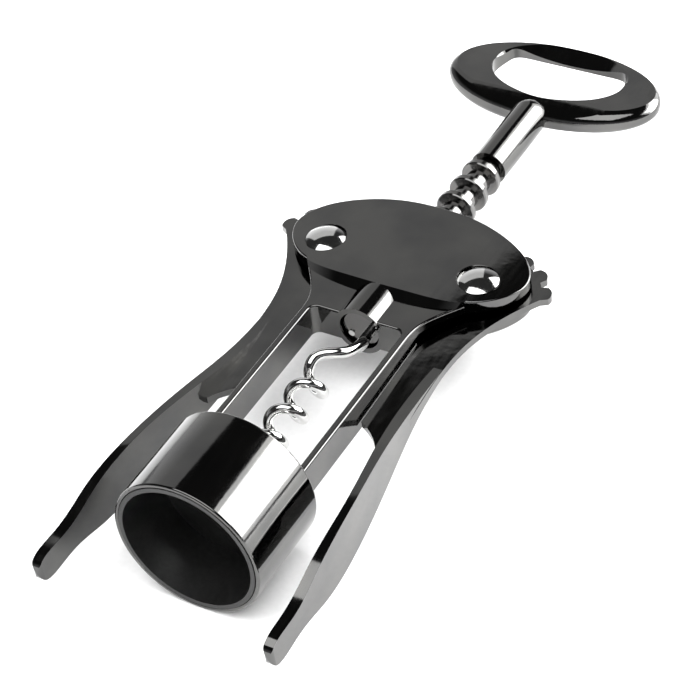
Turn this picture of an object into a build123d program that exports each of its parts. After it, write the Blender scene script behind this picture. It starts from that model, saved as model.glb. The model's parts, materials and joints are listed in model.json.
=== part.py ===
from build123d import *
import os
from math import cos, pi, radians, sin

# Lever corkscrew, in millimetres. It lies on its back: +Y runs along the tool axis from the
# bell to the handle, +Z points out of the front face and +X across. The origin is the centre
# of the bell's mouth. It stands at rest with the worm up and both levers closed.

# ---- Driving dimensions ----------------------------------------------------------------------
# Bell and its plastic liner, with a ledge and a hole that guides the worm
bell_radius = 17.0
bell_length = 23.0
bell_wall = 1.0
bell_edge_radius = 0.45
liner_radius = 15.0
guide_bottom = 14.6
guide_top = 19.9
guide_hole_radius = 5.2

# Frame casting: two like halves that meet at z = 0
window_half_width = 11.45
window_top = 71.3
window_top_radius = 1.8
window_foot_radius = 2.5
rail_width = 1.7
rail_edge_radius = 0.45
rail_top = 66.0
frame_half_depth = 4.0
foot_top = 22.3
foot_hole_radius = 6.0
lever_gap = 1.95
lever_gap_clearance = 0.7
yoke_top = 88.0
yoke_half_width = 23.0

# Head plates, crowned about an axis along Y
head_top = 109.9
head_bottom = 81.0
head_half_width = 29.2
crown_height = 6.1
crown_radius = 220.0
plate_edge_radius = 0.35
bevel_run_out = 1.9
bevel_half_width = 24.0
bevel_end_y = 86.1
belly_x = 17.0
belly_y = 82.7
foot_flat_x = 8.6
foot_flat_y = 81.4
barrel_radius = 6.1
barrel_top = 85.7
bore_radius = 4.85

# Pivot rivets
pivot_x = 19.25
pivot_y = 91.4
rivet_radius = 2.2
rivet_head_radius = 4.62
rivet_seat = 4.45
rivet_rim = 0.55
rivet_dome = 1.15
rivet_clearance = 0.09
rivet_seat_gap = 0.2

# Round rack and the levers' gear teeth
tooth_pitch = 2.0 * pi
pitch_radius = 15.2
tooth_tip_radius = 15.95
tooth_root_radius = 13.7
tooth_crown = 0.6
first_tooth_angle = 23.3
tooth_count = 8
ring_radius = 4.77
rack_root_radius = 3.0
ring_count = 9
mesh_ring_y = 92.3
rings_below_mesh = 2
sleeve_bottom = 77.9
sleeve_top = 133.5

# Levers: a thin web in the head and a deep flange along the outer edge
web_half = 0.85
web_start_angle = 15.2
web_end_angle = 245.0
lever_droop = 2.4
lever_length = 106.3
flange_half_depth = 7.0
flange_reach = 12.0

# Spindle, worm and its locking pin
shaft_radius = 2.2
shaft_clearance = 0.08
shaft_foot_bottom = 72.3
shaft_foot_radius = 4.4
shaft_grip = 14.0
end_play = 0.3
worm_radius = 2.95
worm_wire_radius = 1.2
worm_pitch = 8.5
worm_tip = 15.2
worm_tip_radius = 0.12
worm_taper_turns = 0.65
worm_coil_top = 55.275
worm_front_y = 40.4
worm_offset = 0.5
worm_grip = 3.0
pin_radius = 0.75
pin_x = -2.5
pin_z = -2.0
pin_length = 4.6
pin_proud = 0.3

# Handle ring with its cap lifter, and the stem
stem_radius = 4.4
stem_bottom = sleeve_top + end_play
stem_top = 155.3
handle_centre_y = 169.1
handle_half_width = 27.6
handle_half_height = 14.8
handle_ridge_y = 161.0
handle_ridge_z = 2.9
handle_foot_z = 2.1
handle_far_z = 1.15
handle_blank_depth = 2.9
handle_rim_radius = 2.6
handle_brow_y = 157.5
handle_brow_z = 2.35
handle_tip_z = 1.2
handle_tip_foot_z = 1.4
hole_far_y = 179.0
hole_near_y = 160.3
hole_near_half = 9.0
hole_near_rise = 1.9
hole_straight_half = 11.5
lifter_lip_y = 171.0
lifter_lip_z = -0.6
lifter_lip_radii = (13.5, 8.0)
lifter_rim_y = 176.0
lifter_rim_z = handle_ridge_z + 0.3
lifter_rim_radii = (19.0, 13.5)

rail_outer = window_half_width + rail_width
pitch_angle = tooth_pitch / pitch_radius * 180 / pi

os.makedirs("parts", exist_ok=True)


def write(piece, name):
    """Label a finished piece and write it as one STEP file."""
    piece.part.label = name
    export_step(piece.part, f"parts/{name}.step")


# ---- Bell ------------------------------------------------------------------------------------
with BuildPart() as bell_shell:
    with BuildSketch(Plane.XY):
        with Locations((bell_radius - bell_wall, 0)):
            Rectangle(bell_wall, bell_length, align=(Align.MIN, Align.MIN))
    revolve(axis=Axis.Y)
    fillet(bell_shell.edges().filter_by(GeomType.CIRCLE), bell_edge_radius)

with BuildPart() as bell_liner:
    with BuildSketch(Plane.XY):
        with BuildLine():
            Polyline(
                (guide_hole_radius, guide_top),
                (bell_radius - bell_wall, guide_top),
                (bell_radius - bell_wall, 0),
                (liner_radius, 0),
                (liner_radius, guide_bottom),
                (guide_hole_radius, guide_bottom),
                close=True,
            )
        make_face()
    revolve(axis=Axis.Y)

write(bell_shell, "bell_shell")
write(bell_liner, "bell_liner")

# ---- Frame -----------------------------------------------------------------------------------
# The outline of a head plate, the wedge that blends it down to the yoke, and the yoke itself.
with BuildSketch(Plane.XY) as head_outline:
    with BuildLine():
        Spline(
            (0, head_top),
            (9.0, 109.35),
            (16.6, 107.4),
            (22.9, 104.4),
            (27.0, 100.9),
            (head_half_width, 95.9),
            (27.3, 89.9),
            (23.4, 85.7),
            (belly_x, belly_y),
            (foot_flat_x, foot_flat_y),
            (0, head_bottom),
            tangents=((1, 0), (-1, 0)),
        )
        mirror(about=Plane.YZ)
    make_face()

with BuildSketch(Plane.XY) as yoke_outline:
    with BuildLine():
        Line((0, foot_top), (rail_outer, foot_top))
        Line((rail_outer, foot_top), (rail_outer, rail_top))
        Spline(
            (rail_outer, rail_top),
            (13.9, 74.4),
            (17.7, 80.8),
            (yoke_half_width, yoke_top),
            tangents=((0, 1), (0.6, 0.8)),
        )
        Line((yoke_half_width, yoke_top), (0, yoke_top))
        mirror(about=Plane.YZ)
    make_face()

with BuildSketch(Plane.XY) as window:
    with BuildLine():
        Polyline(
            (-window_half_width, foot_top),
            (-window_half_width, window_top),
            (window_half_width, window_top),
            (window_half_width, foot_top),
            close=True,
        )
    make_face()
    fillet(window.vertices().group_by(Axis.Y)[-1], window_top_radius)
    fillet(window.vertices().group_by(Axis.Y)[0], window_foot_radius)

with BuildPart() as crown:
    with BuildSketch(Plane.XZ.offset(-window_top)):
        with Locations((0, crown_height - crown_radius)):
            Circle(crown_radius)
        Rectangle(2.4 * head_half_width, 3 * crown_height, mode=Mode.INTERSECT)
    extrude(amount=window_top - head_top - barrel_radius)

with BuildPart() as bevel:
    for height, run_out in ((frame_half_depth, bevel_run_out), (crown_height, 0)):
        with BuildSketch(Plane.XY.offset(height)):
            with BuildLine():
                lower_edge = Spline(
                    (-bevel_half_width, bevel_end_y - run_out / 2),
                    (-belly_x, belly_y - run_out * 0.7),
                    (-foot_flat_x, foot_flat_y - run_out),
                    (0, head_bottom - run_out),
                    (foot_flat_x, foot_flat_y - run_out),
                    (belly_x, belly_y - run_out * 0.7),
                    (bevel_half_width, bevel_end_y - run_out / 2),
                )
                Polyline(
                    lower_edge @ 1, (bevel_half_width, pivot_y), (-bevel_half_width, pivot_y), lower_edge @ 0
                )
            make_face()
    loft(ruled=True)
    with BuildSketch(Plane.XY.offset(frame_half_depth)):
        add(yoke_outline.sketch)
    extrude(amount=crown_height, mode=Mode.INTERSECT)
    add(crown.part, mode=Mode.INTERSECT)

with BuildPart() as yoke:
    with BuildSketch(Plane.XY):
        add(yoke_outline.sketch)
        add(window.sketch, mode=Mode.SUBTRACT)
    extrude(amount=frame_half_depth)
    fillet(yoke.faces().sort_by(Axis.Z)[-1].edges(), rail_edge_radius)

with BuildPart() as frame_front:
    with BuildSketch(Plane.XY):
        add(head_outline.sketch)
    extrude(amount=crown_height)
    add(crown.part, mode=Mode.INTERSECT)
    fillet(frame_front.faces().sort_by(Axis.Z)[-1].edges(), plate_edge_radius)
    add(bevel.part)
    add(yoke.part)
    # Barrel for the rack, flush with the crown and open towards the window
    with BuildSketch(Plane.XZ.offset(-window_top)):
        Circle(barrel_radius)
    extrude(amount=window_top - barrel_top)
    # Foot, pressed into the bell above the liner
    with BuildSketch(Plane.XZ.offset(-guide_top)):
        Circle(bell_radius - bell_wall)
        Circle(foot_hole_radius, mode=Mode.SUBTRACT)
    extrude(amount=guide_top - foot_top)
    # Bore for the rack
    with BuildSketch(Plane.XZ.offset(-window_top)):
        Circle(bore_radius)
    extrude(amount=window_top - head_top - barrel_radius, mode=Mode.SUBTRACT)
    # Half of the gap in which the levers' webs turn
    with BuildSketch(Plane.XY):
        with Locations((pivot_x, pivot_y), (-pivot_x, pivot_y)):
            Circle(tooth_tip_radius + lever_gap_clearance)
        with Locations((rail_outer + pitch_radius, pivot_y - pitch_radius)):
            Rectangle(2 * pitch_radius, 2 * pitch_radius)
        with Locations((-rail_outer - pitch_radius, pivot_y - pitch_radius)):
            Rectangle(2 * pitch_radius, 2 * pitch_radius)
    extrude(amount=lever_gap, mode=Mode.SUBTRACT)
    # Rivet holes, with a shallow seat for each head
    with BuildSketch(Plane.XY):
        with Locations((pivot_x, pivot_y), (-pivot_x, pivot_y)):
            Circle(rivet_radius)
    extrude(amount=crown_height, mode=Mode.SUBTRACT)
    with BuildSketch(Plane.XY.offset(rivet_seat)):
        with Locations((pivot_x, pivot_y), (-pivot_x, pivot_y)):
            Circle(rivet_head_radius + rivet_seat_gap)
    extrude(amount=crown_height, mode=Mode.SUBTRACT)
    split(bisect_by=Plane.XY, keep=Keep.TOP)

with BuildPart() as frame_rear:
    mirror(frame_front.part, about=Plane.XY)

write(frame_front, "frame_front")
write(frame_rear, "frame_rear")

# ---- Levers ----------------------------------------------------------------------------------
tilt = radians(lever_droop)
pivot = (pivot_x, pivot_y, 0)
lever_plane = Plane(origin=pivot, x_dir=(1, 0, 0), z_dir=(0, -sin(tilt), cos(tilt)))
side_plane = Plane(origin=pivot, x_dir=(0, cos(tilt), sin(tilt)), z_dir=(1, 0, 0))


def root_point(angle):
    """A point on the gear's root circle, from the pivot."""
    return (tooth_root_radius * cos(radians(angle)), tooth_root_radius * sin(radians(angle)))


with BuildSketch(Plane.XY) as tooth:
    with BuildLine():
        left_flank = Polyline(
            (tooth_root_radius - 0.6, 2.1), (pitch_radius, 1.85), (tooth_tip_radius - tooth_crown, 1.6)
        )
        right_flank = Polyline(
            (tooth_root_radius - 0.6, -2.1), (pitch_radius, -1.85), (tooth_tip_radius - tooth_crown, -1.6)
        )
        ThreePointArc(left_flank @ 1, (tooth_tip_radius, 0), right_flank @ 1)
        Line(left_flank @ 0, right_flank @ 0)
    make_face()

with BuildPart() as right_lever:
    # Flange: its plan outline, cut to its side outline
    with BuildSketch(lever_plane):
        with BuildLine():
            outer = Spline((3.4, -24), (4.2, -44), (7.1, -68), (8.9, -92), (9.1, 1 - lever_length))
            inner = Spline((1.2, -24), (1.75, -44), (5.3, -68), (6.5, -92), (6.9, 1 - lever_length))
            ThreePointArc(outer @ 1, (8.0, -lever_length), inner @ 1)
            Line(inner @ 0, outer @ 0)
        make_face()
    extrude(amount=flange_half_depth, both=True)
    with BuildSketch(side_plane):
        with BuildLine():
            Spline(
                (-20, 0.6),
                (-28, 1.2),
                (-36, 2.1),
                (-52, 4.7),
                (-69, 6.15),
                (-86, 5.2),
                (-98, 3.1),
                (-lever_length, 0),
                tangents=((-1, 0.05), (0, -1)),
            )
            mirror(about=Plane.XZ)
            Line((-20, 0.6), (-20, -0.6))
        make_face()
    extrude(amount=flange_reach, mode=Mode.INTERSECT)
    # Web with the hub and the gear
    with BuildSketch(lever_plane):
        with BuildLine():
            CenterArc((0, 0), tooth_root_radius, web_start_angle, web_end_angle - web_start_angle)
            Polyline(root_point(web_end_angle), (-5.5, -16), (-5.5, -44.1))
            Spline((-5.5, -44.1), (-1.8, -46.6), (1.4, -50.6))
            Line((1.4, -50.6), (4.0, -50.6))
            Spline((4.0, -50.6), (3.45, -30), (4.6, -14.5), (9.3, -2.6), root_point(web_start_angle))
        make_face()
        tooth_span = pitch_angle * tooth_count
        with PolarLocations(0, tooth_count, start_angle=first_tooth_angle, angular_range=tooth_span):
            add(tooth.sketch)
        Circle(rivet_radius + rivet_clearance, mode=Mode.SUBTRACT)
    extrude(amount=web_half, both=True)

with BuildPart() as left_lever:
    mirror(right_lever.part, about=Plane.YZ)

write(right_lever, "right_lever")
write(left_lever, "left_lever")

# ---- Rivets ----------------------------------------------------------------------------------
with BuildPart() as right_rivet:
    with BuildSketch(Plane.XY):
        with Locations((pivot_x, pivot_y)):
            Circle(rivet_radius)
    extrude(amount=rivet_seat, both=True)
    # A domed head at each end, as a cap of a sphere on a short rim
    dome_sphere = (rivet_head_radius**2 + rivet_dome**2) / (2 * rivet_dome)
    with BuildSketch(Plane.XY.offset(rivet_seat)):
        with Locations((pivot_x, pivot_y)):
            Circle(rivet_head_radius)
    extrude(amount=rivet_rim + rivet_dome)
    with Locations((pivot_x, pivot_y, rivet_seat + rivet_rim + rivet_dome - dome_sphere)):
        Sphere(dome_sphere, mode=Mode.INTERSECT)
    mirror(about=Plane.XY)

with BuildPart() as left_rivet:
    mirror(right_rivet.part, about=Plane.YZ)

write(right_rivet, "right_rivet")
write(left_rivet, "left_rivet")

# ---- Rack sleeve -----------------------------------------------------------------------------
with BuildPart() as rack_sleeve:
    with BuildSketch(Plane.XY):
        with Locations((shaft_radius + shaft_clearance, sleeve_bottom)):
            Rectangle(
                rack_root_radius - shaft_radius - shaft_clearance,
                sleeve_top - sleeve_bottom,
                align=(Align.MIN, Align.MIN),
            )
        for index in range(ring_count):
            ring_y = mesh_ring_y + (index - rings_below_mesh) * tooth_pitch
            with Locations((0, ring_y)):
                Polygon(
                    (rack_root_radius - 0.2, -1.3),
                    (ring_radius - 0.2, -0.85),
                    (ring_radius, -0.6),
                    (ring_radius, 0.6),
                    (ring_radius - 0.2, 0.85),
                    (rack_root_radius - 0.2, 1.3),
                    align=None,
                )
    revolve(axis=Axis.Y)

write(rack_sleeve, "rack_sleeve")

# ---- Worm and spindle ------------------------------------------------------------------------
# Right-handed coils a little off the tool axis. They end in a straightened run up to the
# spindle's foot, and taper to a point at the tip.


def coil(bottom, top):
    """The worm's centre line between two heights."""
    start_angle = radians(360 * (bottom - worm_front_y) / worm_pitch)
    plane = Plane(
        origin=(-worm_offset, bottom, worm_offset),
        x_dir=(sin(start_angle), 0, cos(start_angle)),
        z_dir=(0, 1, 0),
    )
    return plane * Helix(pitch=worm_pitch, height=top - bottom, radius=worm_radius)


taper_top = worm_tip + worm_taper_turns * worm_pitch
taper_path = coil(worm_tip, taper_top)
coil_path = coil(taper_top, worm_coil_top)
worm_seat = (1.6, shaft_foot_bottom + 0.7, -1.2)
lead_path = Spline(
    coil_path @ 1,
    (-2.75, 58.3, 2.6),
    (0.4, 60.7, 2.6),
    (2.3, 64.6, 1.0),
    (2.3, 69.0, -0.7),
    worm_seat,
    tangents=(coil_path % 1, (0, 1, 0)),
)

with BuildPart() as worm:
    with BuildSketch(taper_path ^ 0):
        Circle(worm_tip_radius)
    with BuildSketch(taper_path ^ 1):
        Circle(worm_wire_radius)
    sweep(path=taper_path, multisection=True)
    with BuildSketch(coil_path ^ 0):
        Circle(worm_wire_radius)
    sweep(path=coil_path)
    with BuildSketch(lead_path ^ 0):
        Circle(worm_wire_radius)
    sweep(path=lead_path)
    with BuildSketch(Plane.XZ.offset(-worm_seat[1])):
        with Locations((worm_seat[0], worm_seat[2])):
            Circle(worm_wire_radius)
    extrude(amount=-worm_grip)

with BuildPart() as worm_pin:
    with BuildSketch(Plane.XZ.offset(pin_proud - shaft_foot_bottom)):
        with Locations((pin_x, pin_z)):
            Circle(pin_radius)
    extrude(amount=-pin_length)

with BuildPart() as spindle:
    with BuildSketch(Plane.XZ.offset(-shaft_foot_bottom)):
        Circle(shaft_foot_radius)
    extrude(amount=shaft_foot_bottom + end_play - sleeve_bottom)
    with BuildSketch(Plane.XZ.offset(-shaft_foot_bottom)):
        Circle(shaft_radius)
    extrude(amount=shaft_foot_bottom - stem_bottom - shaft_grip)
    add(worm.part, mode=Mode.SUBTRACT)
    add(worm_pin.part, mode=Mode.SUBTRACT)

write(worm, "worm")
write(worm_pin, "worm_pin")
write(spindle, "spindle")

# ---- Handle and cap lifter -------------------------------------------------------------------
handle_near_y = handle_centre_y - handle_half_height
handle_far_y = handle_centre_y + handle_half_height

with BuildPart() as handle:
    # A disc with a rounded rim, drawn out sideways into an oval
    with BuildSketch(Plane.XZ.offset(-handle_centre_y)) as rim:
        Rectangle(handle_half_height, 2 * handle_blank_depth, align=(Align.MIN, Align.CENTER))
        fillet(rim.vertices().group_by(Axis.X)[-1], handle_rim_radius)
    revolve(axis=Axis((0, handle_centre_y, 0), (0, 0, 1)))
    scale(by=(handle_half_width / handle_half_height, 1, 1))
    # Its side outline: a ridge near the stem, thinner towards the far side and flatter below
    with BuildSketch(Plane.YZ):
        with BuildLine():
            top_slope = ThreePointArc(
                (handle_near_y - 1, handle_tip_z),
                (handle_brow_y, handle_brow_z),
                (handle_ridge_y, handle_ridge_z),
            )
            far_edge = Polyline(
                top_slope @ 1, (handle_far_y + 1, handle_far_z), (handle_far_y + 1, -handle_far_z)
            )
            foot_slope = Polyline(
                far_edge @ 1, (handle_ridge_y, -handle_foot_z), (handle_near_y - 1, -handle_tip_foot_z)
            )
            Line(foot_slope @ 1, top_slope @ 0)
        make_face()
    extrude(amount=handle_half_width + 1, both=True, mode=Mode.INTERSECT)
    # Stem, rounded where it runs into the ring
    with BuildSketch(Plane.XZ.offset(-stem_bottom)):
        Circle(stem_radius)
    extrude(amount=stem_bottom - stem_top)
    with Locations((0, stem_top, 0)):
        Sphere(stem_radius)
    # Finger hole, with the sloping recess that holds a crown cap
    with BuildSketch(Plane.XY):
        with BuildLine():
            Line((0, hole_far_y), (hole_straight_half, hole_far_y))
            near_side = ThreePointArc(
                (0, hole_near_y),
                (hole_near_half / 2, hole_near_y + hole_near_rise / 4),
                (hole_near_half, hole_near_y + hole_near_rise),
            )
            Spline(
                near_side @ 1,
                (14.6, 166.0),
                (17.1, 171.2),
                (15.9, 176.4),
                (hole_straight_half, hole_far_y),
                tangents=(near_side % 1, (-1, 0)),
            )
            mirror(about=Plane.YZ)
        make_face()
    extrude(amount=2 * handle_ridge_z, both=True, mode=Mode.SUBTRACT)
    with BuildSketch(Plane.XY.offset(lifter_lip_z)):
        with Locations((0, lifter_lip_y)):
            Ellipse(*lifter_lip_radii)
    with BuildSketch(Plane.XY.offset(lifter_rim_z)):
        with Locations((0, lifter_rim_y)):
            Ellipse(*lifter_rim_radii)
    loft(ruled=True, mode=Mode.SUBTRACT)
    with BuildSketch(Plane.XZ.offset(-stem_bottom)):
        Circle(shaft_radius)
    extrude(amount=-shaft_grip, mode=Mode.SUBTRACT)

write(handle, "handle")
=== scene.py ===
import json
from math import cos, pi, radians, sin

import bpy
from mathutils import Matrix, Vector


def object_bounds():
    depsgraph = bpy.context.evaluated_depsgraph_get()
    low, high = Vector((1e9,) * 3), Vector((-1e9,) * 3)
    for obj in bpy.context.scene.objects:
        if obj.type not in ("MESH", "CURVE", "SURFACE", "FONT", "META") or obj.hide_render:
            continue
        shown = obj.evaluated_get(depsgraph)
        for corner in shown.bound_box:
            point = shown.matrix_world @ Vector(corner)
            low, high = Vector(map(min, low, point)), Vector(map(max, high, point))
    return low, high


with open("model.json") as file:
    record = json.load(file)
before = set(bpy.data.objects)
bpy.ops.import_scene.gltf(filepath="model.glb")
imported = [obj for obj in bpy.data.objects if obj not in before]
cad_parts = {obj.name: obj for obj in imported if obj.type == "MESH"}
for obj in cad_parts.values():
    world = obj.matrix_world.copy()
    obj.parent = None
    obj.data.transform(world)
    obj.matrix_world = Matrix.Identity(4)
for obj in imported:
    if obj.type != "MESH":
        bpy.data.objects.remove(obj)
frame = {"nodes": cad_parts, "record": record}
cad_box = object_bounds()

# Lever corkscrew lying on its back on a pale studio floor. Metres, in the part's own frame: +Y runs
# from the bell to the handle and +Z points out of the front face.

MM = 0.001
FLOOR_REACH = 3.0
CAMERA_PLACE = (0.21546, -0.24901, 0.33531)
CAMERA_RIGHT = Vector((0.86788, 0.48691, -0.09853))
CAMERA_UP = Vector((-0.26099, 0.61565, 0.74354))
LENS = 120.63
SENSOR_WIDTH = 36

# ---- Finishes --------------------------------------------------------------------------------


def new_material(name):
    """A fresh material with its Principled shader and a texture space fixed to the part."""
    material = bpy.data.materials.new(name)
    material.use_nodes = True
    shader = material.node_tree.nodes["Principled BSDF"]
    place = material.node_tree.nodes.new("ShaderNodeTexCoord")
    return material, shader, place.outputs["Object"]


def noise(material, place, scale, detail, stretch=(1, 1, 1)):
    """Noise of that many cells per metre, drawn out along the axes given."""
    nodes = material.node_tree.nodes
    links = material.node_tree.links
    mapping = nodes.new("ShaderNodeMapping")
    mapping.inputs["Scale"].default_value = stretch
    links.new(place, mapping.inputs["Vector"])
    texture = nodes.new("ShaderNodeTexNoise")
    texture.inputs["Scale"].default_value = scale
    texture.inputs["Detail"].default_value = detail
    links.new(mapping.outputs["Vector"], texture.inputs["Vector"])
    return texture.outputs["Fac"]


def rgba(tone):
    """A grey, or a colour of three values, as an opaque colour."""
    return (*tone, 1) if isinstance(tone, tuple) else (tone, tone, tone, 1)


def ramp(material, factor, low, high, start=0.35, end=0.65):
    """A smooth run between two greys or colours as factor goes from start to end."""
    node = material.node_tree.nodes.new("ShaderNodeValToRGB")
    node.color_ramp.elements[0].position = start
    node.color_ramp.elements[1].position = end
    node.color_ramp.elements[0].color = rgba(low)
    node.color_ramp.elements[1].color = rgba(high)
    material.node_tree.links.new(factor, node.inputs["Fac"])
    return node.outputs["Color"]


def bump(material, shader, height, depth):
    """Raises the surface by height times depth, in metres."""
    node = material.node_tree.nodes.new("ShaderNodeBump")
    node.inputs["Distance"].default_value = depth
    material.node_tree.links.new(height, node.inputs["Height"])
    material.node_tree.links.new(node.outputs["Normal"], shader.inputs["Normal"])


def black_nickel():
    """Polished casting under dark nickel plate: a mirror with faint buffing haze and pits."""
    material, shader, place = new_material("black_nickel")
    links = material.node_tree.links
    shader.inputs["Metallic"].default_value = 1.0
    haze = noise(material, place, 70, 3)
    links.new(ramp(material, haze, 0.098, (0.128, 0.127, 0.123)), shader.inputs["Base Color"])
    buffing = noise(material, place, 900, 5, (1, 0.12, 1))
    links.new(ramp(material, buffing, 0.045, 0.105, 0.3, 0.7), shader.inputs["Roughness"])
    bump(material, shader, noise(material, place, 260, 2), 0.012 * MM)
    return material


def polished_steel():
    """Bright polished steel with a faint haze and fine brushing marks."""
    material, shader, place = new_material("polished_steel")
    links = material.node_tree.links
    shader.inputs["Metallic"].default_value = 1.0
    haze = noise(material, place, 120, 3)
    links.new(ramp(material, haze, (0.60, 0.60, 0.59), (0.70, 0.70, 0.69)), shader.inputs["Base Color"])
    buffing = noise(material, place, 1500, 5, (1, 1, 0.2))
    links.new(ramp(material, buffing, 0.05, 0.12, 0.3, 0.7), shader.inputs["Roughness"])
    return material


def turned_steel():
    """Turned and nickelled steel: fine rings round the tool axis."""
    material, shader, place = new_material("turned_steel")
    links = material.node_tree.links
    shader.inputs["Metallic"].default_value = 1.0
    rings = noise(material, place, 40, 3, (1, 60, 1))
    links.new(ramp(material, rings, 0.13, (0.19, 0.185, 0.18)), shader.inputs["Base Color"])
    links.new(ramp(material, rings, 0.09, 0.17), shader.inputs["Roughness"])
    bump(material, shader, rings, 0.004 * MM)
    return material


def satin_plastic():
    """Moulded black plastic with a fine spark-eroded grain."""
    material, shader, place = new_material("satin_plastic")
    links = material.node_tree.links
    grain = noise(material, place, 1400, 4)
    links.new(ramp(material, grain, 0.007, 0.013), shader.inputs["Base Color"])
    cloud = noise(material, place, 90, 3)
    links.new(ramp(material, cloud, 0.30, 0.42), shader.inputs["Roughness"])
    bump(material, shader, grain, 0.015 * MM)
    return material


def pale_floor():
    """Matt white card."""
    material, shader, place = new_material("pale_floor")
    fibre = noise(material, place, 900, 3)
    tone = ramp(material, fibre, 0.86, 0.89)
    material.node_tree.links.new(tone, shader.inputs["Base Color"])
    shader.inputs["Roughness"].default_value = 0.9
    shader.inputs["Specular IOR Level"].default_value = 0.1
    return material


finish_of = {
    "gunmetal": black_nickel(),
    "liner_plastic": satin_plastic(),
    "polished_steel": polished_steel(),
    "rack_nickel": turned_steel(),
}

slot_of = {part["node"]: part["material_slot"] for part in frame["record"]["subparts"]}
for name, node in frame["nodes"].items():
    for slot in node.material_slots:
        slot.material = finish_of[slot_of[name]]

# ---- Studio ----------------------------------------------------------------------------------
low, high = (Vector(corner) for corner in cad_box)
middle = (low + high) / 2


def stage_floor():
    """A plain floor under the lowest point."""
    mesh = bpy.data.meshes.new("floor")
    signs = [(-1, -1), (1, -1), (1, 1), (-1, 1)]
    corners = [(x * FLOOR_REACH, y * FLOOR_REACH, low.z) for x, y in signs]
    mesh.from_pydata(corners, [], [(0, 1, 2, 3)])
    mesh.materials.append(pale_floor())
    floor = bpy.data.objects.new("floor", mesh)
    bpy.context.collection.objects.link(floor)


def softbox(name, azimuth, elevation, distance, width, height, radiance, mirrored=True):
    """A rectangular light aimed at the corkscrew; azimuth turns from +Y towards +X, in degrees.

    With mirrored off it lights the floor but is not seen in the metal.
    """
    a = radians(azimuth)
    e = radians(elevation)
    out = Vector((sin(a) * cos(e), cos(a) * cos(e), sin(e)))
    lamp = bpy.data.lights.new(name, "AREA")
    lamp.shape = "RECTANGLE"
    lamp.size = width
    lamp.size_y = height
    lamp.energy = radiance * pi * width * height
    light = bpy.data.objects.new(name, lamp)
    light.location = middle + out * distance
    light.rotation_mode = "QUATERNION"
    light.rotation_quaternion = out.to_track_quat("Z", "Y")
    light.visible_camera = False
    light.visible_glossy = mirrored
    bpy.context.collection.objects.link(light)


def studio_world():
    """Dim surroundings, a little lighter round the horizon."""
    world = bpy.data.worlds.new("studio")
    bpy.context.scene.world = world
    world.use_nodes = True
    nodes = world.node_tree.nodes
    links = world.node_tree.links
    place = nodes.new("ShaderNodeTexCoord")
    split = nodes.new("ShaderNodeSeparateXYZ")
    links.new(place.outputs["Generated"], split.inputs["Vector"])
    fade = nodes.new("ShaderNodeValToRGB")
    fade.color_ramp.elements[0].position = 0.08
    fade.color_ramp.elements[0].color = (0.45, 0.45, 0.46, 1)
    fade.color_ramp.elements[1].position = 0.45
    fade.color_ramp.elements[1].color = (0.03, 0.03, 0.03, 1)
    links.new(split.outputs["Z"], fade.inputs["Fac"])
    links.new(fade.outputs["Color"], nodes["Background"].inputs["Color"])


def studio_camera():
    """The camera, in front of the bell, above and to the right."""
    data = bpy.data.cameras.new("camera")
    data.sensor_width = SENSOR_WIDTH
    data.lens = LENS
    data.clip_start = 0.01
    data.clip_end = 20
    camera = bpy.data.objects.new("camera", data)
    back = CAMERA_RIGHT.cross(CAMERA_UP)
    place = Matrix((CAMERA_RIGHT, CAMERA_UP, back)).transposed().to_4x4()
    place.translation = CAMERA_PLACE
    camera.matrix_world = place
    bpy.context.collection.objects.link(camera)
    bpy.context.scene.camera = camera


bpy.context.scene.view_settings.view_transform = "Standard"
stage_floor()
softbox("key_border", azimuth=41, elevation=26, distance=1.2, width=1.75, height=1.05, radiance=3.8)
softbox("key_core", azimuth=44, elevation=26, distance=1.15, width=1.0, height=0.8, radiance=8.0)
softbox("left_panel", azimuth=-41, elevation=20, distance=1.2, width=0.86, height=1.2, radiance=0.62)
softbox("overhead", azimuth=180, elevation=75, distance=1.2, width=1.3, height=1.0, radiance=3.0)
softbox(
    "floor_fill", azimuth=200, elevation=70, distance=1.7, width=3.0, height=2.6, radiance=2.2,
    mirrored=False,
)
studio_world()
studio_camera()
